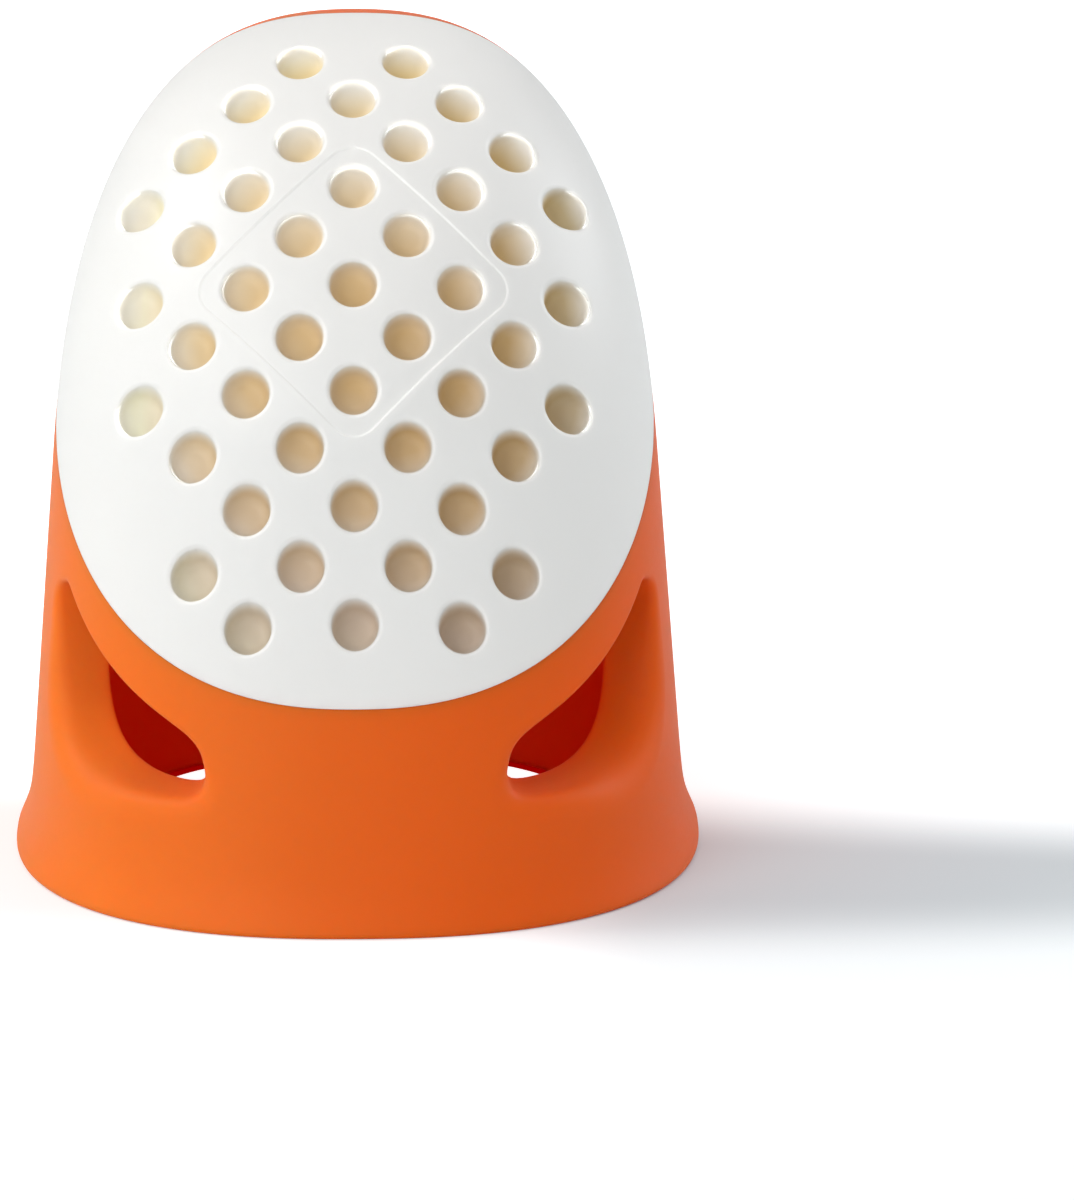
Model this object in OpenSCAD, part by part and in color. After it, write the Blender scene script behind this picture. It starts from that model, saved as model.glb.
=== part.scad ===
// Thimble: hard dimpled shell with a soft sleeve moulded round it.
// Millimetres. The floor is z = 0, the finger opening faces down, the dimpled front faces -y.

/* [Fit] */
// Width across the inside of the finger opening
finger_d = 16; // [14:0.5:18]
// Thickness of the wall at the finger opening
foot_wall = 1.94; // [1.7:0.02:2.2]
// Thickness of the crown over the fingertip
crown_wall = 1.45; // [1.3:0.05:1.9]

/* [Body] */
// Height from the floor to the crown
body_h = 24.3; // [22:0.1:27]
// How much the outside closes in for each millimetre of height
outer_draft = 0.077; // [0.06:0.001:0.09]
// How much the inside closes in for each millimetre of height
inner_draft = 0.042; // [0.03:0.001:0.055]
// Height where the sides start to curve over, as a share of the height
crown_start = 0.49; // [0.44:0.01:0.54]
// Fullness of the crown
crown_power = 2.68; // [2.4:0.02:3]
// How far the crown leans to the back
crown_lean = 3.5; // [2:0.1:4]
// Squareness of the section at the foot
foot_power = 2.38; // [2.1:0.02:2.6]
// Squareness of the section at the crown
top_power = 2.2; // [2.1:0.02:2.4]
// How far the foot spreads out
flare = 0.42; // [0:0.02:0.8]
// Height over which the foot spreads out
flare_h = 0.86; // [0.5:0.02:1.5]
// Rounding of the lower edge
edge_r = 0.2; // [0.1:0.02:0.3]

/* [Seam between shell and sleeve] */
// Height of the seam at the front
seam_low = 6.75; // [6:0.05:7.5]
// Slope of the seam seen from the side
seam_slope = 0.8; // [0.7:0.01:0.9]
// Distance from the middle to the seam over the crown
seam_back = 4.4; // [3.8:0.05:5]
// Softness of the bend in the seam
seam_bend = 0.9; // [0.5:0.05:1.5]

/* [Dimples] */
// Width of a dimple
dimple_d = 1.44; // [1.1:0.02:1.6]
// Thickness left under a dimple, along its own line
dimple_floor = 0.42; // [0.3:0.02:0.7]
// Distance between two columns
column_step = 1.55; // [1.45:0.01:1.65]
// Height of the lowest row, measured square to the dimples
row_low = 3.06; // [2.8:0.02:3.3]
// Distance of the top row, as a share of the height
row_top_share = 0.833; // [0.82:0.001:0.84]
// Angle of the dimples above the floor
pull = 31.7; // [30:0.1:34]

/* [Sunk square on the front] */
// Distance from the middle of the sunk square to its corners
field_reach = 4.85; // [4.4:0.05:5]
// Rounding of the corners of the sunk square
field_r = 0.85; // [0.4:0.05:1.4]
// How deep the square is sunk
field_depth = 0.1; // [0.04:0.01:0.2]

/* [Side windows] */
// Half of the width of the bridge between the windows
bridge_half = 4.42; // [4:0.02:5]
// Height of the lower edge of a window
window_low = 3.6; // [3.4:0.05:4.1]
// Height of the upper corner of a window
window_top = 9.1; // [8.6:0.05:9.4]
// Slope of the upper edge seen from the side
window_slope = 38.2; // [36:0.2:40]
// Distance from the middle to the upper corner at the back
window_back = 3.4; // [2.8:0.02:4]
// How far the back edge leans to the front below that corner
window_lean = 0.25; // [0:0.05:0.6]
// Rounding of the window tip
tip_r = 0.77; // [0.4:0.01:0.9]
// Rounding of the lower corner at the back
low_corner_r = 3.1; // [2:0.05:3.4]
// Rounding of the upper corner at the back
top_corner_r = 0.8; // [0.6:0.05:1.3]

/* [Quality] */
// Facets round the body
around = 64; // [48:8:80]
// Facets from the foot to the crown
upward = 12; // [10:2:16]

/* [Hidden] */
half_out = finger_d / 2 + foot_wall;
half_in = finger_d / 2;
lean_start = body_h * 0.593;
lean_power = 1.66;
inner_h = body_h - crown_wall;
row_count = 12;
row_step = (row_top_share * body_h - row_low) / (row_count - 1);
row_reach = [1, 2, 3, 4, 3, 4, 3, 4, 3, 2, 3, 2];
field_row = 5;
big = 2 * body_h;
foot_steps = 7;
around_in = around * 5 / 8;
$fn = 32;

// Section of the body at height z: half width, squareness and shift to the back.
function crown_at(z, top, start) = z <= start ? 0 : min(1, (z - start) / (top - start));
function closed(u) = pow(max(0, 1 - pow(u, crown_power)), 1 / crown_power);
function flare_at(z) = flare * exp(-pow(z / flare_h, 1.4));
function edge_at(z) = z < edge_r ? edge_r - sqrt(edge_r * edge_r - pow(edge_r - z, 2)) : 0;
function half_w(z) = (half_out - outer_draft * z) * closed(crown_at(z, body_h, crown_start * body_h))
    + flare_at(z) - edge_at(z);
function inner_w(z) = (half_in - inner_draft * z) * closed(crown_at(z, inner_h, crown_start * inner_h))
    + edge_at(z);
function lean(z) = z <= lean_start ? 0
    : crown_lean * pow((min(z, body_h) - lean_start) / (body_h - lean_start), lean_power);
function square_at(z) = foot_power + (top_power - foot_power) * z / body_h;

// One ring of points, and a closed skin over a stack of rings.
function bow(v, n) = sign(v) * pow(abs(v), 2 / n);
function ring(w, z, n, count) = [for (i = [0:count - 1])
    [w * bow(cos(360 * i / count), n), lean(z) + w * bow(sin(360 * i / count), n), z]];
function crown_z(k, top) = crown_start * top
    + (1 - crown_start) * top * pow(sin(90 * k / (upward + 0.35)), 2 / crown_power);
foot_z = [for (k = [0:3]) edge_r * (1 - cos(30 * k)), for (k = [1:foot_steps])
    edge_r + (flare_h * 2.2 - edge_r) * k / foot_steps];
side_z = [for (k = [1:upward / 2]) flare_h * 2.2
    + (crown_start * body_h - flare_h * 2.2) * k * 2 / upward];
outer_z = concat(foot_z, side_z, [for (k = [1:upward]) crown_z(k, body_h)]);
side_in_z = [for (k = [1:3]) edge_r + (crown_start * inner_h - edge_r) * k / 3];
inner_z = concat([for (k = [0:2:3]) edge_r * (1 - cos(30 * k))], [edge_r], side_in_z,
    [for (k = [1:upward]) crown_z(k, inner_h)]);

module skin(rings, tip) {
    count = len(rings[0]);
    last = len(rings) - 1;
    points = concat([for (r = rings) each r], [tip]);
    walls = [for (j = [0:last - 1], i = [0:count - 1])
        [j * count + i, (j + 1) * count + i, (j + 1) * count + (i + 1) % count,
        j * count + (i + 1) % count]];
    cap = [for (i = [0:count - 1])
        [last * count + i, (last + 1) * count, last * count + (i + 1) % count]];
    polyhedron(points, concat([[for (i = [0:count - 1]) i]], walls, cap), convexity = 4);
}

module outer_body(inset = 0) {
    skin([for (z = outer_z) ring(half_w(z) - inset, z * (1 - inset / body_h), square_at(z), around)],
        [0, lean(body_h), body_h - inset]);
}

module finger_space() {
    skin([for (z = inner_z) ring(inner_w(z), z, square_at(z), around_in)],
        [0, lean(inner_h), inner_h]);
    translate([0, 0, -foot_wall])
        linear_extrude(foot_wall + edge_r / 100)
            polygon([for (p = ring(inner_w(0), 0, square_at(0), around_in)) [p[0], p[1]]]);
}

module wall_all() {
    difference() {
        outer_body();
        finger_space();
    }
}

// The seam seen from the side, drawn across the whole width.
function seam_line(z) = -(half_out - outer_draft * seam_low) + (z - seam_low) / seam_slope;
function seam_y(z) = seam_back
    - seam_bend * ln(1 + exp((seam_back - seam_line(z)) / seam_bend));
seam_steps = 20;
seam_from = seam_low / 2;
seam_to = body_h * 1.05;
function seam_z(k) = seam_from + (seam_to - seam_from) * k / seam_steps;

module front_region() {
    rotate([90, 0, 90])
        linear_extrude(big, center = true)
            polygon(concat([for (k = [0:seam_steps]) [seam_y(seam_z(k)), seam_z(k)]],
                [[-big, seam_to], [-big, seam_from]]));
}

// Where the line of one dimple meets the inner skin. x across, a up the slope, b outwards.
function on_line(x, a, b) = [x, a * sin(pull) - b * cos(pull), a * cos(pull) + b * sin(pull)];
function ring_size(p, n) = pow(pow(abs(p[0]), n) + pow(abs(p[1] - lean(p[2])), n), 1 / n);
function in_space(p) = p[2] < inner_h && ring_size(p, square_at(p[2])) < inner_w(p[2]);
function reach(x, a, lo, hi, turn = 0) = turn == 16 ? hi
    : in_space(on_line(x, a, (lo + hi) / 2)) ? reach(x, a, (lo + hi) / 2, hi, turn + 1)
    : reach(x, a, lo, (lo + hi) / 2, turn + 1);
function row_a(j) = row_low + (row_count - 1 - j) * row_step;

// The flat floor of a dimple clears the inner skin all round by the same amount.
module dimple(x, a) {
    foot = max([for (t = [0:45:315])
        reach(x + dimple_d / 2 * cos(t), a + dimple_d / 2 * sin(t), 0, body_h)]);
    translate([x, a, foot + dimple_floor])
        cylinder(d = dimple_d, h = body_h / 2);
}

module dimples() {
    rotate([90 - pull, 0, 0])
        for (j = [0:row_count - 1], i = [-row_reach[j]:2:row_reach[j]])
            dimple(i * column_step, row_a(j));
}

module sunk_field() {
    side = (field_reach - field_r * sqrt(2)) * sqrt(2) / 2;
    difference() {
        rotate([90 - pull, 0, 0])
            translate([0, row_a(field_row), 0])
                rotate([0, 0, 45])
                    linear_extrude(big)
                        hull()
                            for (u = [-side, side], v = [-side, side])
                                translate([u, v])
                                    circle(field_r);
        outer_body(inset = field_depth);
    }
}

// Side view of a window: a rounded shape, cut off along its sloping upper edge.
module window_shape() {
    top_y = -window_back - top_corner_r;
    top_z = window_top - top_corner_r;
    intersection() {
        hull() {
            translate([-half_out + tip_r, window_low + tip_r])
                circle(tip_r);
            translate([-window_back - window_lean - low_corner_r, window_low + low_corner_r])
                circle(low_corner_r);
            translate([top_y, top_z])
                circle(top_corner_r);
        }
        translate([top_y, top_z])
            rotate(window_slope)
                translate([-big, top_corner_r - 2 * big])
                    square(2 * big);
    }
}

module windows() {
    for (side = [0, 1])
        mirror([side, 0, 0])
            translate([bridge_half, 0, 0])
                rotate([90, 0, 90])
                    linear_extrude(half_out + flare)
                        window_shape();
}

module hard_shell() {
    color([0.94, 0.93, 0.9])
        difference() {
            intersection() {
                wall_all();
                front_region();
            }
            dimples();
            sunk_field();
        }
}

module soft_sleeve() {
    color([0.89, 0.37, 0.13])
        difference() {
            wall_all();
            front_region();
            windows();
        }
}

hard_shell();
soft_sleeve();
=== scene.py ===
"""A thimble on a white table: hard dimpled shell, soft sleeve with side windows."""
import math

import bpy
import numpy as np
from mathutils import Euler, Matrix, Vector, kdtree
from mathutils.geometry import delaunay_2d_cdt

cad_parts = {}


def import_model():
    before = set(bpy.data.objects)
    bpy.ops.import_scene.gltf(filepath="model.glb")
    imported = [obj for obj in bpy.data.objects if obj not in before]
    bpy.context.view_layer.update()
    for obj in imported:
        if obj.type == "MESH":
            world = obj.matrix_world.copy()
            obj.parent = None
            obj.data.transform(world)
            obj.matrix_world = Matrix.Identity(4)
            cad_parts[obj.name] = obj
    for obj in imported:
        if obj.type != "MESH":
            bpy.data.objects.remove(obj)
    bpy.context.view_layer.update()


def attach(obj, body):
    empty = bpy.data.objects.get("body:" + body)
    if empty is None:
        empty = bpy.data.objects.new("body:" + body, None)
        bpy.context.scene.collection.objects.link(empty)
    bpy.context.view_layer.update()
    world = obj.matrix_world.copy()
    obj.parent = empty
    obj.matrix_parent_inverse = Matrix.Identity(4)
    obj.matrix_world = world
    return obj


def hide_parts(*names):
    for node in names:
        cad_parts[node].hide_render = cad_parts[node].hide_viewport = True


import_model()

# Sizes, in millimetres
MM = 0.001
FINGER = 16.0
FOOT_WALL = 1.94
CROWN_WALL = 1.45
HEIGHT = 24.3
OUTER_DRAFT = 0.077
INNER_DRAFT = 0.042
CROWN_START = 0.49
CROWN_POWER = 2.68
CROWN_LEAN = 3.5
LEAN_START = 0.593 * HEIGHT
LEAN_POWER = 1.66
FOOT_POWER = 2.38
TOP_POWER = 2.2
FLARE = 0.415
FLARE_H = 0.86
FLARE_POWER = 1.4
EDGE = 0.2

SEAM_LOW = 6.75
SEAM_SLOPE = 0.8
SEAM_BACK = 4.3
SEAM_BEND = 0.9
SEAM_BOW = 0.2
SEAM_CURL = 0.5
BOW_START = 14.5
BOW_RISE = 4.5
BOW_WIDTH = 5.0
SEAM_EDGE = 0.02

PULL = math.radians(31.7)
DIMPLE_R = 0.69
DIMPLE_RIM = 0.14
DIMPLE_FLOOR = 0.42
DIMPLE_CORNER = 0.34
DIMPLE_DRAFT = 0.04
COLUMN_STEP = 1.55
ROW_LOW = 3.06
ROW_TOP = 0.833 * HEIGHT
ROW_REACH = (1, 2, 3, 4, 3, 4, 3, 4, 3, 2, 3, 2)
ROW_STEP = (ROW_TOP - ROW_LOW) / (len(ROW_REACH) - 1)

SQUARE_REACH = 4.85
SQUARE_R = 0.85
SQUARE_DEPTH = 0.06
SQUARE_STEP = 0.09
SQUARE_ROW = 5
SQUARE_UP = ROW_LOW + (len(ROW_REACH) - 1 - SQUARE_ROW) * ROW_STEP

BRIDGE = 4.27
BRIDGE_SOFT = 0.7
WINDOW_LOW = 3.6
WINDOW_TOP = 9.1
WINDOW_BACK = 3.4
WINDOW_SLOPE = math.radians(38.2)
TIP_R = 0.77
LOW_CORNER_R = 3.1
TOP_CORNER_R = 0.8
TIP_Y = -9.2
BACK_DRAFT = 0.25
INNER_BACK = 0.5
INNER_LIFT = 0.15
INNER_LIP = 0.45
INNER_LIP_H = 0.8

# How the meshes are laid out: radii of the flat maps and spacing of their points.
SPREAD_R = 8.0
ROLL_R = 9.5
SHELL_STEP, SHELL_GAP = 0.32, 0.15
INNER_SHELL_STEP, INNER_SHELL_GAP = 0.55, 0.2
SLEEVE_STEP, INNER_SLEEVE_STEP = 0.34, 0.5
SEAM_COUNT = 150
FOOT_COUNT = 121
FOOT_TOP = 2.0
JOIN = 2e-7

ACROSS = np.array((1.0, 0.0, 0.0))
UPWARD = np.array((0.0, math.sin(PULL), math.cos(PULL)))
OUTWARD = np.array((0.0, -math.cos(PULL), math.sin(PULL)))
MIDDLE = np.array((0.0, 0.5, 13.0))


# The two skins of the wall
def lean(z):
    rise = np.clip((z - LEAN_START) / (HEIGHT - LEAN_START), 0, 1)
    return CROWN_LEAN * rise ** LEAN_POWER


def squareness(z):
    return FOOT_POWER + (TOP_POWER - FOOT_POWER) * np.clip(z, 0, HEIGHT) / HEIGHT


def foot_fade(z, height):
    """1 at the foot, fading out upwards."""
    return np.exp(-(np.maximum(z, 0) / height) ** FLARE_POWER)


def bisect(is_low, low, high, turns=50):
    """Narrows each pair of ends down to the place where is_low stops being true."""
    for _ in range(turns):
        mid = (low + high) / 2
        lower = is_low(mid)
        low, high = np.where(lower, mid, low), np.where(lower, high, mid)
    return low


class Skin:
    """One face of the wall: a half width at each height, closed by a crown at its top."""

    def __init__(self, foot, draft, top, flared):
        self.foot, self.draft, self.top, self.flared = foot, draft, top, flared
        self.heights = top * (1 - np.linspace(1, 0, 4001) ** 3)
        steps = np.hypot(np.diff(self.half(self.heights)), np.diff(self.heights))
        self.climbs = np.concatenate([[0], np.cumsum(steps)])

    def climb(self, z):
        """Way up the skin from the foot to a height, along the skin itself."""
        return np.interp(z, self.heights, self.climbs)

    def height_at(self, climb):
        return np.interp(climb, self.climbs, self.heights)

    def half(self, z):
        start = CROWN_START * self.top
        rise = np.clip((z - start) / (self.top - start), 0, 1)
        width = (self.foot - self.draft * z) * (1 - rise ** CROWN_POWER) ** (1 / CROWN_POWER)
        low = np.clip(EDGE - z, 0, EDGE)
        edge = EDGE - np.sqrt(EDGE ** 2 - low ** 2)
        if self.flared:
            return width + FLARE * foot_fade(z, FLARE_H) - edge
        return width + edge - INNER_LIP * foot_fade(z, INNER_LIP_H)

    def point(self, turn, z):
        n = squareness(z)
        c, s = np.cos(turn), np.sin(turn)
        x = self.half(z) * np.sign(c) * np.abs(c) ** (2 / n)
        y = self.half(z) * np.sign(s) * np.abs(s) ** (2 / n) + lean(z)
        return np.stack([np.where(np.abs(c) < 1e-9, 0.0, x), y, z + 0 * turn], -1)

    def width_at(self, y, z):
        """Half width across at a place seen from the side, 0 outside the body."""
        n = squareness(z)
        left = np.maximum(self.half(z) ** n - np.abs(y - lean(z)) ** n, 0)
        return left ** (1 / n)

    def level(self, p):
        """Below 0 inside the skin, above 0 outside."""
        x, y, z = p[..., 0], p[..., 1], p[..., 2]
        n = squareness(z)
        size = (np.abs(x) ** n + np.abs(y - lean(z)) ** n) ** (1 / n)
        return np.where(z < self.top, size - self.half(np.minimum(z, self.top)), 1.0)

    def leave(self, start, way, far=30.0):
        """Where lines from inside points pass through the skin."""
        none = np.zeros(start.shape[:-1])
        out = bisect(lambda out: self.level(start + way * out[..., None]) < 0, none, none + far)
        return start + way * out[..., None]

    def normal(self, p, h=1e-4):
        grad = np.stack([self.level(p + h * axis) - self.level(p - h * axis) for axis in np.eye(3)], -1)
        grad[p[..., 2] > self.top - 0.02] = (0, 0, 1)
        return grad / np.linalg.norm(grad, axis=-1, keepdims=True)


OUTER = Skin(FINGER / 2 + FOOT_WALL, OUTER_DRAFT, HEIGHT, True)
INNER = Skin(FINGER / 2, INNER_DRAFT, HEIGHT - CROWN_WALL, False)


# The seam between shell and sleeve
def seam_y(x, z):
    """Place of the seam seen from the side; over the crown it bows to the back in the middle."""
    line = -(FINGER / 2 + FOOT_WALL - OUTER_DRAFT * SEAM_LOW) + (z - SEAM_LOW) / SEAM_SLOPE
    over = np.clip((z - BOW_START) / BOW_RISE, 0, 1)
    aside = np.clip(x / BOW_WIDTH, -1.2, 1.2)
    bow = (SEAM_BOW - SEAM_CURL * aside ** 2) * over * over * (3 - 2 * over)
    return SEAM_BACK - SEAM_BEND * np.log1p(np.exp((SEAM_BACK - line) / SEAM_BEND)) + bow


def seam_path(skin, count):
    """Evenly spaced places of the seam on a skin, from the front over one side to the crown."""
    top = np.array(skin.top)
    first = bisect(lambda z: lean(z) - skin.half(z) > seam_y(0, z), np.array(1.0), top)
    last = bisect(lambda z: lean(z) + skin.half(z) > seam_y(0, z), np.array(15.0), top)
    z = first + (last - first) * (1 - np.cos(np.linspace(0, math.pi, 3001))) / 2
    x = bisect(lambda x: skin.width_at(seam_y(x, z), z) > x, 0 * z, skin.half(z))
    x[0] = x[-1] = 0.0
    path = np.stack([x, seam_y(x, z), z], -1)
    along = np.concatenate([[0], np.cumsum(np.linalg.norm(np.diff(path, axis=0), axis=1))])
    even = np.linspace(0, along[-1], count)
    return np.stack([np.interp(even, along, path[:, k]) for k in range(3)], -1)


def unit(v):
    return v / np.maximum(np.linalg.norm(v, axis=-1, keepdims=True), 1e-12)


def bend(start, corner, end, count):
    """Rows of a rounding that leaves one row, passes near a corner and ends on another row."""
    return [(1 - t) ** 2 * start + 2 * t * (1 - t) * corner + t ** 2 * end for t in np.linspace(0, 1, count)]


def seam_corner(skin, into_shell):
    """The seam line of a skin as a rounded corner: its first row lies on the skin, its last on the cut."""
    line = seam_path(skin, SEAM_COUNT)
    along = unit(np.gradient(line, axis=0))
    along[0], along[-1] = (1, 0, 0), (-1, 0, 0)
    normal = skin.normal(line)
    on_skin = np.cross(along, normal)
    if (on_skin[SEAM_COUNT // 2, 2] > 0) != into_shell:
        on_skin = -on_skin
    x, z = line[:, 0], line[:, 2]
    slope = (seam_y(x, z + 1e-3) - seam_y(x, z - 1e-3)) / 2e-3
    turn_in = (seam_y(x + 1e-3, z) - seam_y(x - 1e-3, z)) / 2e-3
    cut = unit(np.stack([-turn_in, np.ones_like(slope), -slope], -1))
    on_cut = np.cross(along, cut)
    into_wall = -normal if skin is OUTER else normal
    on_cut *= np.sign((on_cut * into_wall).sum(-1, keepdims=True))
    start, end = line + SEAM_EDGE * on_skin, line + SEAM_EDGE * on_cut
    rows = np.array(bend(start, line, end, 5))
    rows[:, (0, -1), 0] = 0.0
    return rows


# Patches and their meshes
class Patches:
    """Strips and fields of one half of a piece, later joined, mirrored and closed."""

    def __init__(self):
        self.points, self.faces, self.count = [], [], 0

    def add(self, points, faces):
        points = np.asarray(points, float).reshape(-1, 3)
        self.points.append(points)
        self.faces += [tuple(int(i) + self.count for i in f) for f in faces]
        self.count += len(points)

    def strip(self, rows, ring=False):
        """Quads between rows of points; a ring joins each row's end to its start."""
        rows = np.asarray(rows)
        m, n = rows.shape[:2]
        last = n if ring else n - 1
        faces = [(i * n + j, i * n + (j + 1) % n, (i + 1) * n + (j + 1) % n, (i + 1) * n + j)
                 for i in range(m - 1) for j in range(last)]
        self.add(rows, faces)

    def fan(self, row, tip, ring=False):
        n = len(row)
        last = n if ring else n - 1
        self.add(np.vstack([row, [tip]]), [(j, (j + 1) % n, n) for j in range(last)])


def in_outline(points, outline):
    """Which flat points lie inside a closed outline."""
    x, y = points[:, 0], points[:, 1]
    inside = np.zeros(len(points), bool)
    x0, y0 = outline[-1]
    for x1, y1 in outline:
        crossing = (y0 > y) != (y1 > y)
        if y0 != y1:
            inside ^= crossing & (x < (x1 - x0) * (y - y0) / (y1 - y0) + x0)
        x0, y0 = x1, y1
    return inside


def honeycomb(low, high, step):
    """Evenly spaced flat points, each row set off by half a step."""
    rows = np.arange(low[1], high[1], step * 0.866)
    points = []
    for k, y in enumerate(rows):
        x = np.arange(low[0] + (k % 2) * step / 2, high[0], step)
        points.append(np.stack([x, np.full(len(x), y)], -1))
    return np.vstack(points)


def field(outline, holes, lines, step, gap):
    """Flat triangles that fill an outline, leave its holes open and follow its lines.

    Gives the flat points, outline and holes first, and the triangles."""
    fixed, edges = [], []
    count = 0
    for loop, closed_loop in [(outline, True)] + [(h, True) for h in holes] + [(l, False) for l in lines]:
        n = len(loop)
        fixed.append(loop)
        edges += [(count + i, count + (i + 1) % n) for i in range(n if closed_loop else n - 1)]
        count += n
    fixed = np.vstack(fixed)
    tree = kdtree.KDTree(count)
    for i, (x, y) in enumerate(fixed):
        tree.insert((x, y, 0), i)
    tree.balance()
    loose = honeycomb(outline.min(0), outline.max(0), step)
    loose = loose[in_outline(loose, outline)]
    for hole in holes:
        loose = loose[~in_outline(loose, hole)]
    loose = np.array([p for p in loose if tree.find((p[0], p[1], 0))[2] > gap])
    flat = np.vstack([fixed, loose])
    out, _, tris, origin, _, _ = delaunay_2d_cdt([Vector(p) for p in flat], edges, [], 0, 1e-7, True)
    back = [min(o) if o else -1 for o in origin]
    if -1 in back:
        raise ValueError("two lines of a field cross")
    tris = np.array([[back[i] for i in t] for t in tris])
    middle = flat[tris].mean(1)
    keep = in_outline(middle, outline)
    for hole in holes:
        keep &= ~in_outline(middle, hole)
    return flat, tris[keep]


def select_all(obj):
    bpy.ops.object.select_all(action="DESELECT")
    obj.select_set(True)
    bpy.context.view_layer.objects.active = obj


def build_half(patches, name):
    """Joins the patches of one half, mirrors them over x = 0 and closes the piece."""
    mesh = bpy.data.meshes.new(name)
    mesh.from_pydata((np.vstack(patches.points) * MM).tolist(), [], patches.faces)
    obj = bpy.data.objects.new(name, mesh)
    bpy.context.scene.collection.objects.link(obj)
    select_all(obj)
    bpy.ops.object.mode_set(mode="EDIT")
    bpy.ops.mesh.select_all(action="SELECT")
    bpy.ops.mesh.remove_doubles(threshold=JOIN)
    bpy.ops.object.mode_set(mode="OBJECT")
    mirror = obj.modifiers.new("other half", "MIRROR")
    mirror.use_axis = (True, False, False)
    mirror.use_clip = False
    mirror.merge_threshold = JOIN
    bpy.ops.object.modifier_apply(modifier=mirror.name)
    bpy.ops.object.mode_set(mode="EDIT")
    bpy.ops.mesh.select_all(action="SELECT")
    bpy.ops.mesh.normals_make_consistent(inside=False)
    bpy.ops.object.mode_set(mode="OBJECT")
    bpy.ops.object.shade_smooth()
    return obj


def points_of(obj):
    flat = np.empty(len(obj.data.vertices) * 3)
    obj.data.vertices.foreach_get("co", flat)
    return flat.reshape(-1, 3) / MM


def true_normals(obj):
    """Gives the points on the smooth skins the normals of the skins themselves."""
    p = points_of(obj)
    flat = np.empty(len(p) * 3)
    obj.data.vertex_normals.foreach_get("vector", flat)
    normals = flat.reshape(-1, 3)
    for skin, side in ((OUTER, 1), (INNER, -1)):
        for drop in (0.0, SQUARE_DEPTH) if skin is OUTER else (0.0,):
            q = p + drop * OUTWARD
            on_skin = (np.abs(skin.level(q)) < 2e-5) & (q[:, 2] > 2 * EDGE) & (q[:, 2] < skin.top - 1e-3)
            normals[on_skin] = side * skin.normal(q[on_skin])
    obj.data.normals_split_custom_set_from_vertices(normals.tolist())


# Hard shell
def on_lattice(x, a, b):
    return (np.multiply.outer(x, ACROSS) + np.multiply.outer(a, UPWARD) + np.multiply.outer(b, OUTWARD))


def reach(skin, x, a):
    """How far out along the pull the skin lies at a place of the lattice."""
    x, a = np.broadcast_arrays(np.asarray(x, float), np.asarray(a, float))
    start = 0.9 * (a * math.sin(PULL) - 1) / math.cos(PULL)
    return skin.leave(on_lattice(x, a, start), OUTWARD) @ OUTWARD


def dimple_places():
    """Columns from the middle to the right; the mirror makes the left ones."""
    top = len(ROW_REACH) - 1
    return [(i * COLUMN_STEP, ROW_LOW + (top - j) * ROW_STEP)
            for j, reach_j in enumerate(ROW_REACH)
            for i in range(-reach_j, reach_j + 1, 2) if i >= 0]


def square_distance(x, a):
    """Distance out from the line of the sunk square, below 0 inside it."""
    half = SQUARE_REACH / math.sqrt(2)
    a = a - SQUARE_UP
    u, v = np.abs(x + a) / math.sqrt(2), np.abs(x - a) / math.sqrt(2)
    du, dv = u - half + SQUARE_R, v - half + SQUARE_R
    return np.hypot(np.maximum(du, 0), np.maximum(dv, 0)) + np.minimum(np.maximum(du, dv), 0) - SQUARE_R


def square_drop(x, a):
    t = np.clip(-square_distance(x, a) / SQUARE_STEP, 0, 1)
    return SQUARE_DEPTH * t * t * (3 - 2 * t)


def shell_lattice(p):
    return p @ ACROSS, p @ UPWARD, p @ OUTWARD


def spread_out(p):
    """Flat map of the outer skin round the pull direction."""
    d = unit(p - MIDDLE)
    turn = np.arccos(np.clip(d @ OUTWARD, -1, 1))
    side = np.stack([d @ ACROSS, d @ UPWARD], -1)
    return SPREAD_R * turn[:, None] * unit(side)


def wrap_back(skin, flat):
    """The places on a skin that such a flat map shows."""
    turn = np.linalg.norm(flat, axis=1) / SPREAD_R
    side = flat / np.maximum(np.linalg.norm(flat, axis=1, keepdims=True), 1e-9)
    way = (np.cos(turn)[:, None] * OUTWARD + np.sin(turn)[:, None]
           * (side[:, :1] * ACROSS + side[:, 1:] * UPWARD))
    return skin.leave(np.broadcast_to(MIDDLE, way.shape), way)


def dimple_turns(x):
    """A full ring, or the right half of one on the middle line."""
    if x > 0:
        return np.radians(np.arange(48) * 7.5), True
    return np.radians(np.linspace(-90, 90, 25)), False


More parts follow.
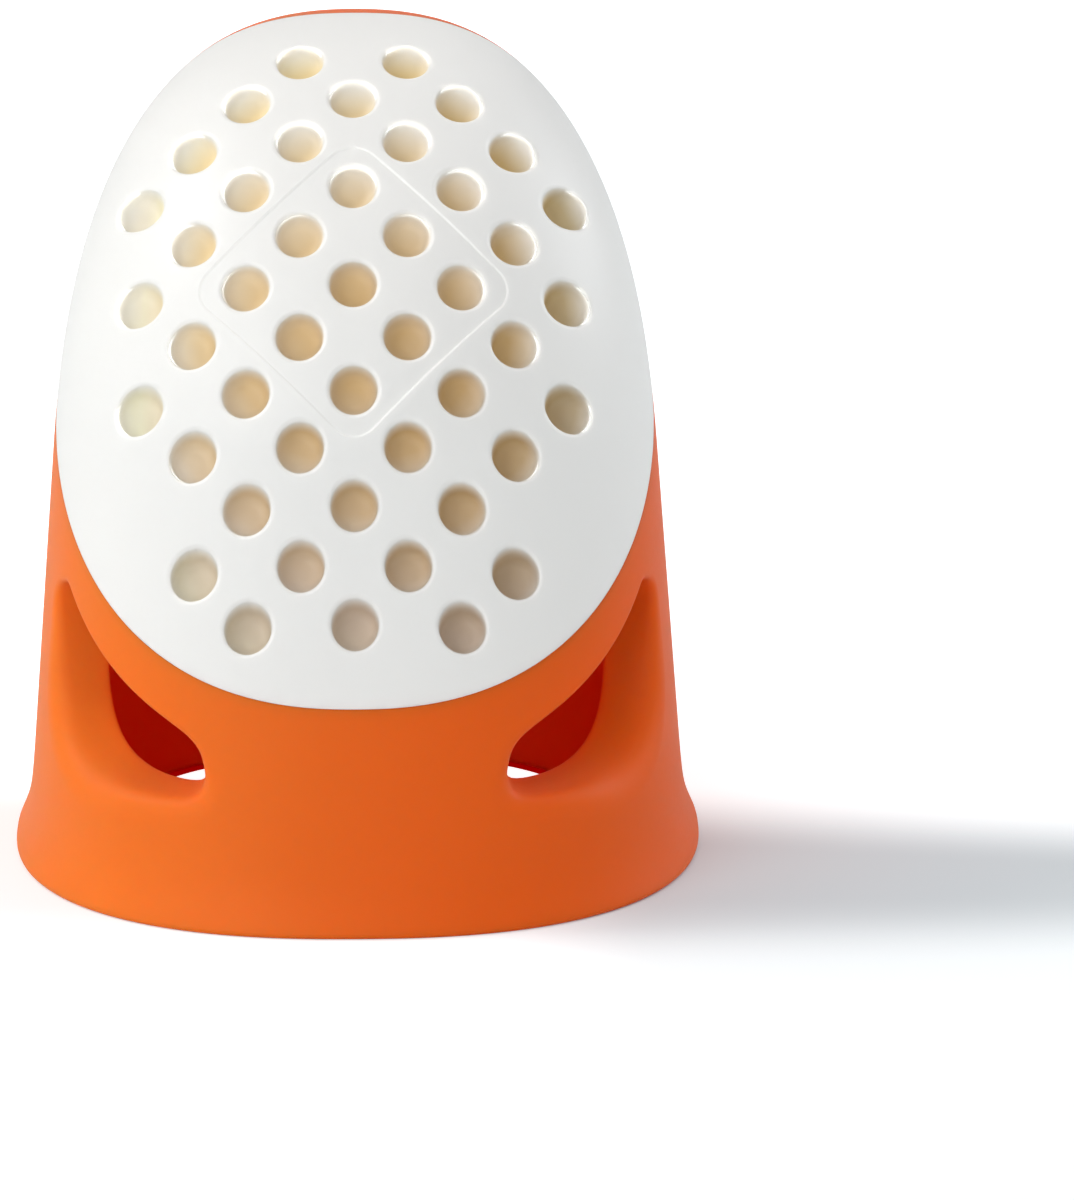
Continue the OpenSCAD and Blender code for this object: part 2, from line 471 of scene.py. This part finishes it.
def dimple_rings(x, a):
    """Rings of a dimple from its outer rim to its floor."""
    turns, ring = dimple_turns(x)
    cos, sin = np.cos(turns), np.sin(turns)
    if not ring:
        cos[0] = cos[-1] = 0.0
    rows = []
    for phi in np.linspace(0, math.pi / 2, 8):
        r = DIMPLE_R + DIMPLE_RIM * (1 - math.sin(phi))
        px, pa = x + r * cos, a + r * sin
        b = reach(OUTER, px, pa) - square_drop(px, pa) - DIMPLE_RIM * (1 - math.cos(phi))
        rows.append(on_lattice(px, pa, b))
    rim_b = rows[-1] @ OUTWARD
    rim = np.radians(np.arange(0, 360, 15))
    floor = reach(INNER, x + DIMPLE_R * np.cos(rim), a + DIMPLE_R * np.sin(rim)).max() + DIMPLE_FLOOR
    low = DIMPLE_R - DIMPLE_DRAFT
    wall_end = floor + DIMPLE_CORNER
    for t in (0.33, 0.67):
        r = DIMPLE_R - DIMPLE_DRAFT * t
        rows.append(on_lattice(x + r * cos, a + r * sin, rim_b + (wall_end - rim_b) * t))
    for phi in np.linspace(0, math.pi / 2, 5):
        r = low - DIMPLE_CORNER * (1 - math.cos(phi))
        b = np.full(len(cos), wall_end - DIMPLE_CORNER * math.sin(phi))
        rows.append(on_lattice(x + r * cos, a + r * sin, b))
    for t in (0.66, 0.33):
        r = (low - DIMPLE_CORNER) * t
        rows.append(on_lattice(x + r * cos, a + r * sin, np.full(len(cos), floor)))
    return np.array(rows), on_lattice(np.array(x), np.array(a), np.array(floor)), ring


def square_lines():
    """The sunk square's step as lines on the right half of the lattice."""
    turns = np.linspace(-math.pi / 2, math.pi / 2, 121)
    cos, sin = np.cos(turns), np.sin(turns)
    lines = []
    for inset in (0.0, 0.33, 0.67, 1.0):
        out = bisect(lambda r: square_distance(r * cos, SQUARE_UP + r * sin) < -inset * SQUARE_STEP,
                     0 * turns, 0 * turns + 2 * SQUARE_REACH)
        x, a = out * cos, SQUARE_UP + out * sin
        x[0] = x[-1] = 0.0
        lines.append((x, a))
    return lines


def middle_line(skin, start, end, skip, step):
    """Places up the middle line from one end of the seam to the other, clear of the dimples."""
    ends = spread_out(np.array([start, end]))[:, 1]
    v = np.linspace(ends[0], ends[1], int(abs(ends[1] - ends[0]) / step) + 1)[1:-1]
    if skip is not None:
        p = wrap_back(skin, np.stack([0 * v, v], -1))
        a = p @ UPWARD
        v = v[np.array([min(abs(q - s) - r for s, r in skip) > 0 for q in a])]
    return v


def hard_shell():
    patches = Patches()
    corner, inner_corner = seam_corner(OUTER, True), seam_corner(INNER, True)
    rim = DIMPLE_R + DIMPLE_RIM
    places = dimple_places()
    holes, halves, skip = [], [], []
    for x, a in places:
        rows, tip, ring = dimple_rings(x, a)
        patches.strip(rows, ring)
        patches.fan(rows[-1], tip, ring)
        turns, _ = dimple_turns(x)
        px, pa = x + rim * np.cos(turns), a + rim * np.sin(turns)
        if not ring:
            px[0] = px[-1] = 0.0
            skip.append((a, rim + 0.12))
        flat = spread_out(on_lattice(px, pa, reach(OUTER, px, pa)))
        if ring:
            holes.append(flat)
        else:
            halves.append(flat)
    # The outline runs along the seam to the back, then down the middle round the half dimples.
    edge = spread_out(corner[0])
    edge[0, 0] = edge[-1, 0] = 0.0
    steps = []
    for x, a in square_lines():
        steps.append(spread_out(on_lattice(x, a, reach(OUTER, x, a))))
        steps[-1][0, 0] = steps[-1][-1, 0] = 0.0
    v = middle_line(OUTER, corner[0][0], corner[0][-1], skip, 0.3)
    stops = [(h[0, 1], h) for h in halves] + [(q, np.array([[0.0, q]])) for q in v]
    stops += [(s[k, 1], s[k:k + 1]) for s in steps for k in (0, -1)]
    stops.sort(key=lambda s: -s[0])
    down = [s[1][::-1] if len(s[1]) > 1 else s[1] for s in stops]
    outline = np.vstack([edge] + down)
    flat, tris = field(outline, holes, [s[1:-1] for s in steps], SHELL_STEP, SHELL_GAP)
    points = wrap_back(OUTER, flat)
    points[np.abs(flat[:, 0]) < 1e-9, 0] = 0.0
    points[:SEAM_COUNT] = corner[0]
    x, a, b = shell_lattice(points)
    front = b > 0
    points = points - np.where(front, square_drop(x, a), 0)[:, None] * OUTWARD
    patches.add(points, tris)
    patches.strip(corner)
    patches.strip(seam_face(corner[-1], inner_corner[-1]))
    patches.strip(inner_corner[::-1])
    edge = spread_out(inner_corner[0])
    edge[0, 0] = edge[-1, 0] = 0.0
    v = middle_line(INNER, inner_corner[0][0], inner_corner[0][-1], None, 0.5)
    outline = np.vstack([edge, np.stack([0 * v, v], -1)[::-1]])
    flat, tris = field(outline, [], [], INNER_SHELL_STEP, INNER_SHELL_GAP)
    points = wrap_back(INNER, flat)
    points[np.abs(flat[:, 0]) < 1e-9, 0] = 0.0
    points[:SEAM_COUNT] = inner_corner[0]
    patches.add(points, tris)
    return build_half(patches, "shell")


def seam_face(outer_line, inner_line, steps=8):
    """The cut between shell and sleeve, from the outer skin to the inner one."""
    rows = [outer_line]
    for t in np.linspace(0, 1, steps)[1:-1]:
        row = outer_line + (inner_line - outer_line) * t
        row[:, 1] = seam_y(row[:, 0], row[:, 2])
        rows.append(row)
    return np.array(rows + [inner_line])


# Soft sleeve
def window_distance(y, z):
    """Distance out from the side view of a window, below 0 inside it."""
    top_y, top_z = -WINDOW_BACK - TOP_CORNER_R, WINDOW_TOP - TOP_CORNER_R
    circles = ((TIP_Y, WINDOW_LOW + TIP_R, TIP_R),
               (-WINDOW_BACK - BACK_DRAFT - LOW_CORNER_R, WINDOW_LOW + LOW_CORNER_R, LOW_CORNER_R),
               (top_y, top_z, TOP_CORNER_R))
    turns = np.radians(np.arange(0, 360, 1.0))
    c, s = np.cos(turns), np.sin(turns)
    support = np.max([c * cy + s * cz + r for cy, cz, r in circles], axis=0)
    hull = (np.multiply.outer(y, c) + np.multiply.outer(z, s) - support).max(-1)
    upper = (z - top_z) * math.cos(WINDOW_SLOPE) - (y - top_y) * math.sin(WINDOW_SLOPE) - TOP_CORNER_R
    return np.maximum(hull, upper)


def window_level(skin, p):
    """Distance out from the opening on a skin, with the tip rounded against the bridge."""
    y, z = p[:, 1], p[:, 2]
    if skin is INNER:
        y = y - INNER_BACK * np.clip((y + 7) / 4, 0, 1)
        z = z - INNER_LIFT * np.clip((7 - z) / 3, 0, 1)
    side, bridge = window_distance(y, z), BRIDGE - p[:, 0]
    soft = BRIDGE_SOFT if skin is OUTER else BRIDGE_SOFT / 2
    return (side + bridge + np.sqrt((side - bridge) ** 2 + soft ** 2)) / 2


WINDOW_TURNS = np.radians(np.arange(0, 360, 2.0))


def window_place(skin, across, up):
    """A place of a window: 0 to 1 from its back edge to its tip, and from its foot to its top."""
    back, front = (0.31, 1.17) if skin is OUTER else (0.33, 1.05)
    return skin.point(-back - (front - back) * across, WINDOW_LOW + (WINDOW_TOP - WINDOW_LOW) * up)


def window_loop(skin, level):
    """The opening's edge on a skin, moved out by a level for each turn round its middle."""
    across, up = np.cos(WINDOW_TURNS) / 7.5, np.sin(WINDOW_TURNS) / 5.5

    def place(out):
        return window_place(skin, 0.45 + out * across, 0.38 + out * up)

    start = np.zeros(len(WINDOW_TURNS))
    return place(bisect(lambda out: window_level(skin, place(out)) < level, start, start + 9.0))


def lobe(turns, middle, width):
    away = (turns - math.radians(middle) + math.pi) % (2 * math.pi) - math.pi
    return np.exp(-(away / math.radians(width)) ** 2)


def window_rounding():
    """Radius of the window's outer edge: crisp above, broad and soft below and behind."""
    return (0.1 + 0.75 * lobe(WINDOW_TURNS, 262, 58) + 0.45 * lobe(WINDOW_TURNS, 180, 40)
            + 0.2 * lobe(WINDOW_TURNS, 335, 25))


def window_rows():
    """Rings of a window from the outer skin through the wall to the inner skin."""
    soft = window_rounding()
    start, corner, end = window_loop(OUTER, soft), window_loop(OUTER, 0), window_loop(INNER, 0)
    inner_start = window_loop(INNER, 0.15)
    through = unit(end - corner)
    reach_in = np.linalg.norm(end - corner, axis=1)
    fillet_end = corner + through * np.minimum(soft, 0.45 * reach_in)[:, None]
    inner_end = end - through * 0.15
    rows = bend(start, corner, fillet_end, 9)
    rows += [fillet_end + (inner_end - fillet_end) * t for t in (0.25, 0.5, 0.75)]
    rows += bend(inner_end, end, inner_start, 5)
    return np.array(rows)


def unroll(skin, p):
    """Flat map of the sides: turn round the body and height."""
    n = squareness(p[:, 2])
    half = skin.half(p[:, 2])
    c = np.clip(np.abs(p[:, 0]) / half, 0, 1) ** (n / 2)
    s = np.clip(np.abs(p[:, 1] - lean(p[:, 2])) / half, 0, 1) ** (n / 2)
    turn = np.arctan2(s * np.sign(p[:, 1] - lean(p[:, 2])), c)
    return np.stack([turn * ROLL_R, skin.climb(p[:, 2])], -1)


def roll_up(skin, flat):
    return skin.point(flat[:, 0] / ROLL_R, skin.height_at(flat[:, 1]))


def sleeve_side(skin, base_z, foot_turns, edge_line, window, step):
    """One skin of the sleeve above the foot, with its window, as flat points and triangles."""
    edge = unroll(skin, edge_line)
    edge[0, 0], edge[-1, 0] = -math.pi / 2 * ROLL_R, math.pi / 2 * ROLL_R
    base = skin.climb(base_z)
    low = np.stack([foot_turns * ROLL_R, np.full(len(foot_turns), base)], -1)
    front = np.arange(base + step, edge[0, 1] - step / 2, step)
    back = np.arange(base + step, edge[-1, 1] - step / 2, step)
    front = np.stack([np.full(len(front), edge[0, 0]), front], -1)
    back = np.stack([np.full(len(back), edge[-1, 0]), back], -1)
    outline = np.vstack([low, back, edge[::-1], front[::-1]])
    flat, tris = field(outline, [unroll(skin, window)], [], step, step * 0.45)
    points = roll_up(skin, flat)
    points[:len(low)] = skin.point(foot_turns, np.full(len(foot_turns), base_z))
    first = len(low) + len(back)
    points[first:first + len(edge)] = edge_line[::-1]
    points[len(outline):len(outline) + len(window)] = window
    return points, tris


def soft_sleeve():
    patches = Patches()
    corner, inner_corner = seam_corner(OUTER, False), seam_corner(INNER, False)
    rows = window_rows()
    foot_turns = np.linspace(-math.pi / 2, math.pi / 2, FOOT_COUNT)
    for skin, line, loop, step in ((OUTER, corner[0], rows[0], SLEEVE_STEP),
                                   (INNER, inner_corner[0], rows[-1], INNER_SLEEVE_STEP)):
        patches.add(*sleeve_side(skin, FOOT_TOP, foot_turns, line, loop, step))
    patches.strip(rows, ring=True)
    edge_z = EDGE * (1 - np.cos(np.radians(np.arange(0, 91, 15))))
    side_z = np.linspace(EDGE, FOOT_TOP, 23)[1:]
    heights = np.concatenate([edge_z, side_z])
    outer_rows = [OUTER.point(foot_turns, np.full(len(foot_turns), z)) for z in heights]
    inner_rows = [INNER.point(foot_turns, np.full(len(foot_turns), z)) for z in heights]
    base = [outer_rows[0] + (inner_rows[0] - outer_rows[0]) * t for t in np.linspace(0, 1, 5)]
    patches.strip(outer_rows)
    patches.strip(base)
    patches.strip(inner_rows)
    patches.strip(corner)
    patches.strip(seam_face(corner[-1], inner_corner[-1]))
    patches.strip(inner_corner[::-1])
    return build_half(patches, "sleeve")


shell = hard_shell()
sleeve = soft_sleeve()
true_normals(shell)
true_normals(sleeve)


# Shader expressions
class Value:
    """A socket that takes part in sums and products."""

    def __init__(self, tree, socket):
        self.tree, self.socket = tree, socket

    def _math(self, operation, a, b):
        return node(self.tree, "ShaderNodeMath", {"operation": operation}, {0: a, 1: b})["Value"]

    def __add__(self, other):
        return self._math("ADD", self, other)

    def __radd__(self, other):
        return self._math("ADD", other, self)

    def __rsub__(self, other):
        return self._math("SUBTRACT", other, self)

    def __mul__(self, other):
        return self._math("MULTIPLY", self, other)

    def __pow__(self, other):
        return self._math("POWER", self, other)


def node(tree, kind, settings=None, inputs=None):
    """Adds a node, its settings first, then the values or links of its sockets; gives its outputs by name."""
    made = tree.nodes.new(kind)
    for key, value in (settings or {}).items():
        setattr(made, key, value)
    for key, value in (inputs or {}).items():
        socket = made.inputs[key]
        if isinstance(value, Value):
            tree.links.new(value.socket, socket)
        elif isinstance(value, (tuple, list)) and socket.type == "RGBA" and len(value) == 3:
            socket.default_value = (*value, 1)
        else:
            socket.default_value = value
    return {s.name: Value(tree, s) for s in made.outputs if s.enabled}


def new_material(name):
    material = bpy.data.materials.new(name)
    material.use_nodes = True
    tree = material.node_tree
    tree.nodes.clear()
    return material, tree


def mix_colour(tree, factor, a, b):
    made = tree.nodes.new("ShaderNodeMix")
    made.data_type = "RGBA"
    for index, value in ((0, factor), (6, a), (7, b)):
        socket = made.inputs[index]
        if isinstance(value, Value):
            tree.links.new(value.socket, socket)
        else:
            socket.default_value = (*value, 1) if index else value
    return Value(tree, made.outputs[2])


def ramp(tree, value, start, end):
    """Rises softly from 0 at the start to 1 at the end."""
    settings = {"interpolation_type": "SMOOTHSTEP"}
    if start < end:
        return node(tree, "ShaderNodeMapRange", settings, {"Value": value, 1: start, 2: end})["Result"]
    return 1 - node(tree, "ShaderNodeMapRange", settings, {"Value": value, 1: end, 2: start})["Result"]


def noise(tree, where, scale, detail):
    inputs = {"Vector": where, "Scale": scale, "Detail": detail}
    return node(tree, "ShaderNodeTexNoise", None, inputs)["Fac"]


def fine_bump(tree, height, strength, distance):
    inputs = {"Height": height, "Strength": strength, "Distance": distance}
    return node(tree, "ShaderNodeBump", None, inputs)["Normal"]


def moulded_plastic(tree, inputs):
    """A plastic that light enters a little before it comes back out."""
    inputs = {"Subsurface Weight": 1.0, **inputs}
    shader = node(tree, "ShaderNodeBsdfPrincipled", {"subsurface_method": "BURLEY"}, inputs)["BSDF"]
    out = tree.nodes.new("ShaderNodeOutputMaterial")
    tree.links.new(shader.socket, out.inputs["Surface"])


def white_plastic():
    material, tree = new_material("hard white plastic")
    where = node(tree, "ShaderNodeTexCoord")["Object"]
    shade_by_depth = node(tree, "ShaderNodeAttribute", {"attribute_name": "shade_by_depth"})["Fac"]
    painted_dimple_shade = node(tree, "ShaderNodeAttribute", {"attribute_name": "painted_dimple_shade"})["Color"]
    clouds, grain = noise(tree, where, 260.0, 2.0), noise(tree, where, 5200.0, 2.0)
    plain = mix_colour(tree, clouds * 0.5, (0.86, 0.855, 0.838), (0.835, 0.832, 0.818))
    # Painted shade and warm glow: the white turns tan deeper down in the dimples.
    colour = mix_colour(tree, shade_by_depth, plain, painted_dimple_shade)
    bump = fine_bump(tree, grain, 0.03, 0.00002)
    moulded_plastic(tree, {
        "Base Color": colour, "Roughness": 0.38 + clouds * 0.06, "Normal": bump, "IOR": 1.4,
        "Subsurface Radius": (1.0, 0.97, 0.9), "Subsurface Scale": 0.00025})
    return material


def orange_plastic():
    material, tree = new_material("soft orange plastic")
    where = node(tree, "ShaderNodeTexCoord")["Object"]
    # Painted light: the orange grows brighter and yellower towards the left, the side the window lamp lights.
    painted_light_left = ramp(tree, node(tree, "ShaderNodeSeparateXYZ", None, {"Vector": where})["X"], 0.0105, -0.0105)
    clouds, grain = noise(tree, where, 220.0, 2.0), noise(tree, where, 6000.0, 3.0)
    lit_side_colour = mix_colour(tree, painted_light_left ** 2, (0.775, 0.098, 0.0045), (0.89, 0.192, 0.018))
    colour = mix_colour(tree, clouds * 0.4, lit_side_colour, (0.8, 0.122, 0.006))
    # Painted glow: the inner skin emits a dark red light of its own.
    inside = node(tree, "ShaderNodeAttribute", {"attribute_name": "inside"})["Fac"]
    through = mix_colour(tree, inside, (0.0, 0.0, 0.0), (0.1, 0.0, 0.0))
    bump = fine_bump(tree, grain, 0.08, 0.00003)
    moulded_plastic(tree, {
        "Base Color": colour, "Roughness": 0.5 + grain * 0.08, "Normal": bump, "IOR": 1.25,
        "Sheen Weight": 0.1, "Sheen Roughness": 0.45, "Sheen Tint": (1.0, 0.88, 0.75),
        "Emission Color": through, "Emission Strength": 1.0,
        "Subsurface Radius": (1.0, 0.2, 0.05), "Subsurface Scale": 0.0007})
    return material


def point_values(obj, name, values):
    layer = obj.data.attributes.new(name, "FLOAT", "POINT")
    layer.data.foreach_set("value", values.astype(np.float32))


# Painted shade and warm glow in the dimples: a tan that deepens with depth, darker to the right and paler to
# the sides and ends.
SHADE_TAN = np.array((0.722, 0.506, 0.233))
SHADE_TAN_RIGHT = np.array((-0.163, -0.256, -0.449))
SHADE_TAN_SIDES = np.array((0.053, 0.28, 0.738))
SHADE_TAN_UP = np.array((0.124, 0.147, 0.03))
SHADE_TAN_ENDS = np.array((0.073, 0.217, 0.56))
SHADE_TAN_PALE = np.array((0.9, 0.85, 0.74))
SHADE_TAN_BLUE = 0.8
SHADE_TAN_HALF_WIDTH, SHADE_TAN_HALF_HEIGHT = 6.2, 8.0
SHADE_TAN_DEPTH = 0.75


def paint_dimple_shade(obj):
    """How deep each point lies in a dimple, and the dimples' painted shade and warm glow: tan, deeper down,
    darker to the right, paler to the sides and ends.
    """
    p = points_of(obj)
    x, a, b = shell_lattice(p)
    shade_by_depth = np.zeros(len(p))
    for x0, a0 in dimple_places():
        for side in (1, -1):
            near = (np.hypot(x - side * x0, a - a0) < DIMPLE_R + 0.001) & (b > 3)
            near &= INNER.level(p) > 0.05
            rim = reach(OUTER, x[near], a[near])
            shade_by_depth[near] = np.clip((rim - b[near] - DIMPLE_RIM) / SHADE_TAN_DEPTH, 0, 1) ** 0.8
    point_values(obj, "shade_by_depth", shade_by_depth)
    u = np.clip(x / SHADE_TAN_HALF_WIDTH, -1, 1)[:, None]
    v = np.clip((a - SQUARE_UP) / SHADE_TAN_HALF_HEIGHT, -1.2, 1.2)[:, None]
    painted_dimple_shade = SHADE_TAN * np.exp(SHADE_TAN_RIGHT * u + SHADE_TAN_SIDES * u ** 4 + SHADE_TAN_UP * v + SHADE_TAN_ENDS * v ** 2)
    painted_dimple_shade[:, 2] = np.minimum(painted_dimple_shade[:, 2], SHADE_TAN_BLUE * painted_dimple_shade[:, 1])
    layer = obj.data.attributes.new("painted_dimple_shade", "FLOAT_COLOR", "POINT")
    colours = np.hstack([np.minimum(painted_dimple_shade, SHADE_TAN_PALE), np.ones((len(p), 1))])
    layer.data.foreach_set("color", colours.astype(np.float32).ravel())


def paint_inner_glow(obj):
    """Where the sleeve glows with painted red light that stands in for daylight through it: its inner skin,
    up to the window edges.
    """
    p = points_of(obj)
    point_values(obj, "inside", np.clip(1 - INNER.level(p) / 0.5, 0, 1) * (p[:, 2] > 0.01))


paint_dimple_shade(shell)
paint_inner_glow(sleeve)
shell.data.materials.append(white_plastic())
sleeve.data.materials.append(orange_plastic())
for piece, cad_node, slot in ((shell, "hard_shell", "hard_plastic"), (sleeve, "soft_sleeve", "soft_plastic")):
    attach(piece, "root")
    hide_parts(cad_node)


# Table, light and camera

# Half width of the white that shows through the windows, and a circle that lies under the wall all round; the
# ring between them gets painted shade.
OPENING = 7.32
COVERED = 9.0 * MM


def absolute(tree, value):
    return node(tree, "ShaderNodeMath", {"operation": "ABSOLUTE"}, {0: value})["Value"]


def below(tree, value, limit):
    return node(tree, "ShaderNodeMath", {"operation": "LESS_THAN"}, {0: value, 1: limit})["Value"]


def table():
    bpy.ops.object.select_all(action="DESELECT")
    bpy.ops.mesh.primitive_plane_add(size=3.0, location=(0, 0, 0))
    plane = bpy.context.object
    plane.name = "table"
    material, tree = new_material("white table")
    seen = node(tree, "ShaderNodeLightPath")["Is Camera Ray"]
    where = node(tree, "ShaderNodeTexCoord")["Object"]
    away = node(tree, "ShaderNodeVectorMath", {"operation": "LENGTH"}, {0: where})["Value"]
    covered = below(tree, away, COVERED)
    place = node(tree, "ShaderNodeSeparateXYZ", None, {"Vector": where})
    size = absolute(tree, place["X"] * 1000) ** FOOT_POWER + absolute(tree, place["Y"] * 1000) ** FOOT_POWER
    under = below(tree, size, OPENING ** FOOT_POWER)
    # Painted light: behind, before and left of a band right of the thimble the table glows white for the
    # camera, painting out the lamps' shadow there; within the band a faint blue glow is added to the real
    # shadow.
    behind = ramp(tree, place["Y"] + place["X"] * 0.175, -0.0002, 0.0063)
    before = ramp(tree, place["Y"], -0.0065, -0.0125)
    left = ramp(tree, place["X"], 0.009, 0.002)
    clear = (behind * 0.55 + before * 0.25 + left * 0.3) * (1 - covered)
    painted_light_over_shadow = mix_colour(tree, clear, (0.0, 0.02, 0.035), (1.0, 1.0, 1.0))
    # Painted shade: under the opening the table glows evenly white; in the ring between the opening and the
    # wall it glows dark red and is painted dark red, standing in for shade and red light from the sleeve.
    inside = mix_colour(tree, under, (0.27, 0.0, 0.0), (1.0, 1.0, 1.0))
    level = mix_colour(tree, covered, painted_light_over_shadow, inside)
    colour = mix_colour(tree, covered * (1 - under), (0.755, 0.795, 0.81), (0.1, 0.004, 0.002))
    paint = node(tree, "ShaderNodeBsdfDiffuse", None, {"Color": colour})["BSDF"]
    glow = node(tree, "ShaderNodeEmission", None, {"Color": level, "Strength": 1.0})["Emission"]
    both = node(tree, "ShaderNodeAddShader", None, {0: paint, 1: glow})["Shader"]
    mixed = node(tree, "ShaderNodeMixShader", None, {0: seen, 1: paint, 2: both})["Shader"]
    out = tree.nodes.new("ShaderNodeOutputMaterial")
    tree.links.new(mixed.socket, out.inputs["Surface"])
    plane.data.materials.append(material)
    return plane


def area_light(name, place, target, size, power, colour=(1, 1, 1)):
    bpy.ops.object.light_add(type="AREA", location=place)
    lamp = bpy.context.object
    lamp.name = name
    lamp.data.shape = "RECTANGLE"
    lamp.data.size, lamp.data.size_y = size
    lamp.data.energy = power
    lamp.data.color = colour
    aim = Vector(target) - Vector(place)
    lamp.rotation_euler = aim.to_track_quat("-Z", "Y").to_euler()
    return lamp


def world():
    scene_world = bpy.data.worlds.new("studio")
    bpy.context.scene.world = scene_world
    scene_world.use_nodes = True
    tree = scene_world.node_tree
    tree.nodes.clear()
    seen = node(tree, "ShaderNodeLightPath")["Is Camera Ray"]
    grey = {"Color": (0.985, 0.985, 0.985), "Strength": 0.57}
    fill = node(tree, "ShaderNodeBackground", None, grey)["Background"]
    white = node(tree, "ShaderNodeBackground", None, {"Color": (1, 1, 1), "Strength": 1.0})["Background"]
    mixed = node(tree, "ShaderNodeMixShader", None, {0: seen, 1: fill, 2: white})["Shader"]
    out = tree.nodes.new("ShaderNodeOutputWorld")
    tree.links.new(mixed.socket, out.inputs["Surface"])


CAMERA_RISE = 16.64
CAMERA_TURN = -1.056
CAMERA_FAR = 242.4
CAMERA_SIDE = 5.42
CAMERA_HIGH = 6.95
CAMERA_LENS = 240.0


def camera():
    """Looks down a little at the thimble, which stays left of the middle."""
    turn = Euler((math.radians(90 - CAMERA_RISE), 0, math.radians(CAMERA_TURN)))
    axes = turn.to_matrix()
    right, up, back = axes.col[0], axes.col[1], axes.col[2]
    place = (right * CAMERA_SIDE + up * CAMERA_HIGH + back * CAMERA_FAR) * MM
    bpy.ops.object.camera_add(location=place, rotation=turn)
    cam = bpy.context.object
    cam.data.lens = CAMERA_LENS
    cam.data.sensor_width = 36.0
    cam.data.sensor_fit = "AUTO"
    cam.data.clip_start, cam.data.clip_end = 0.01, 10.0
    bpy.context.scene.camera = cam


table()
world()
area_light("window", (-0.25, 0.04, 0.275), (0, 0, 0.008), (0.11, 0.11), 0.46, (1.0, 0.985, 0.95))
area_light("front fill", (-0.2, -0.32, 0.16), (0, 0, 0.010), (0.3, 0.3), 0.56, (1.0, 0.99, 0.98))
area_light("back glow", (0.30, 0.16, 0.16), (0, 0, 0.014), (0.2, 0.2), 0.42, (0.96, 0.98, 1.0))
camera()
bpy.context.scene.view_settings.view_transform = "Standard"
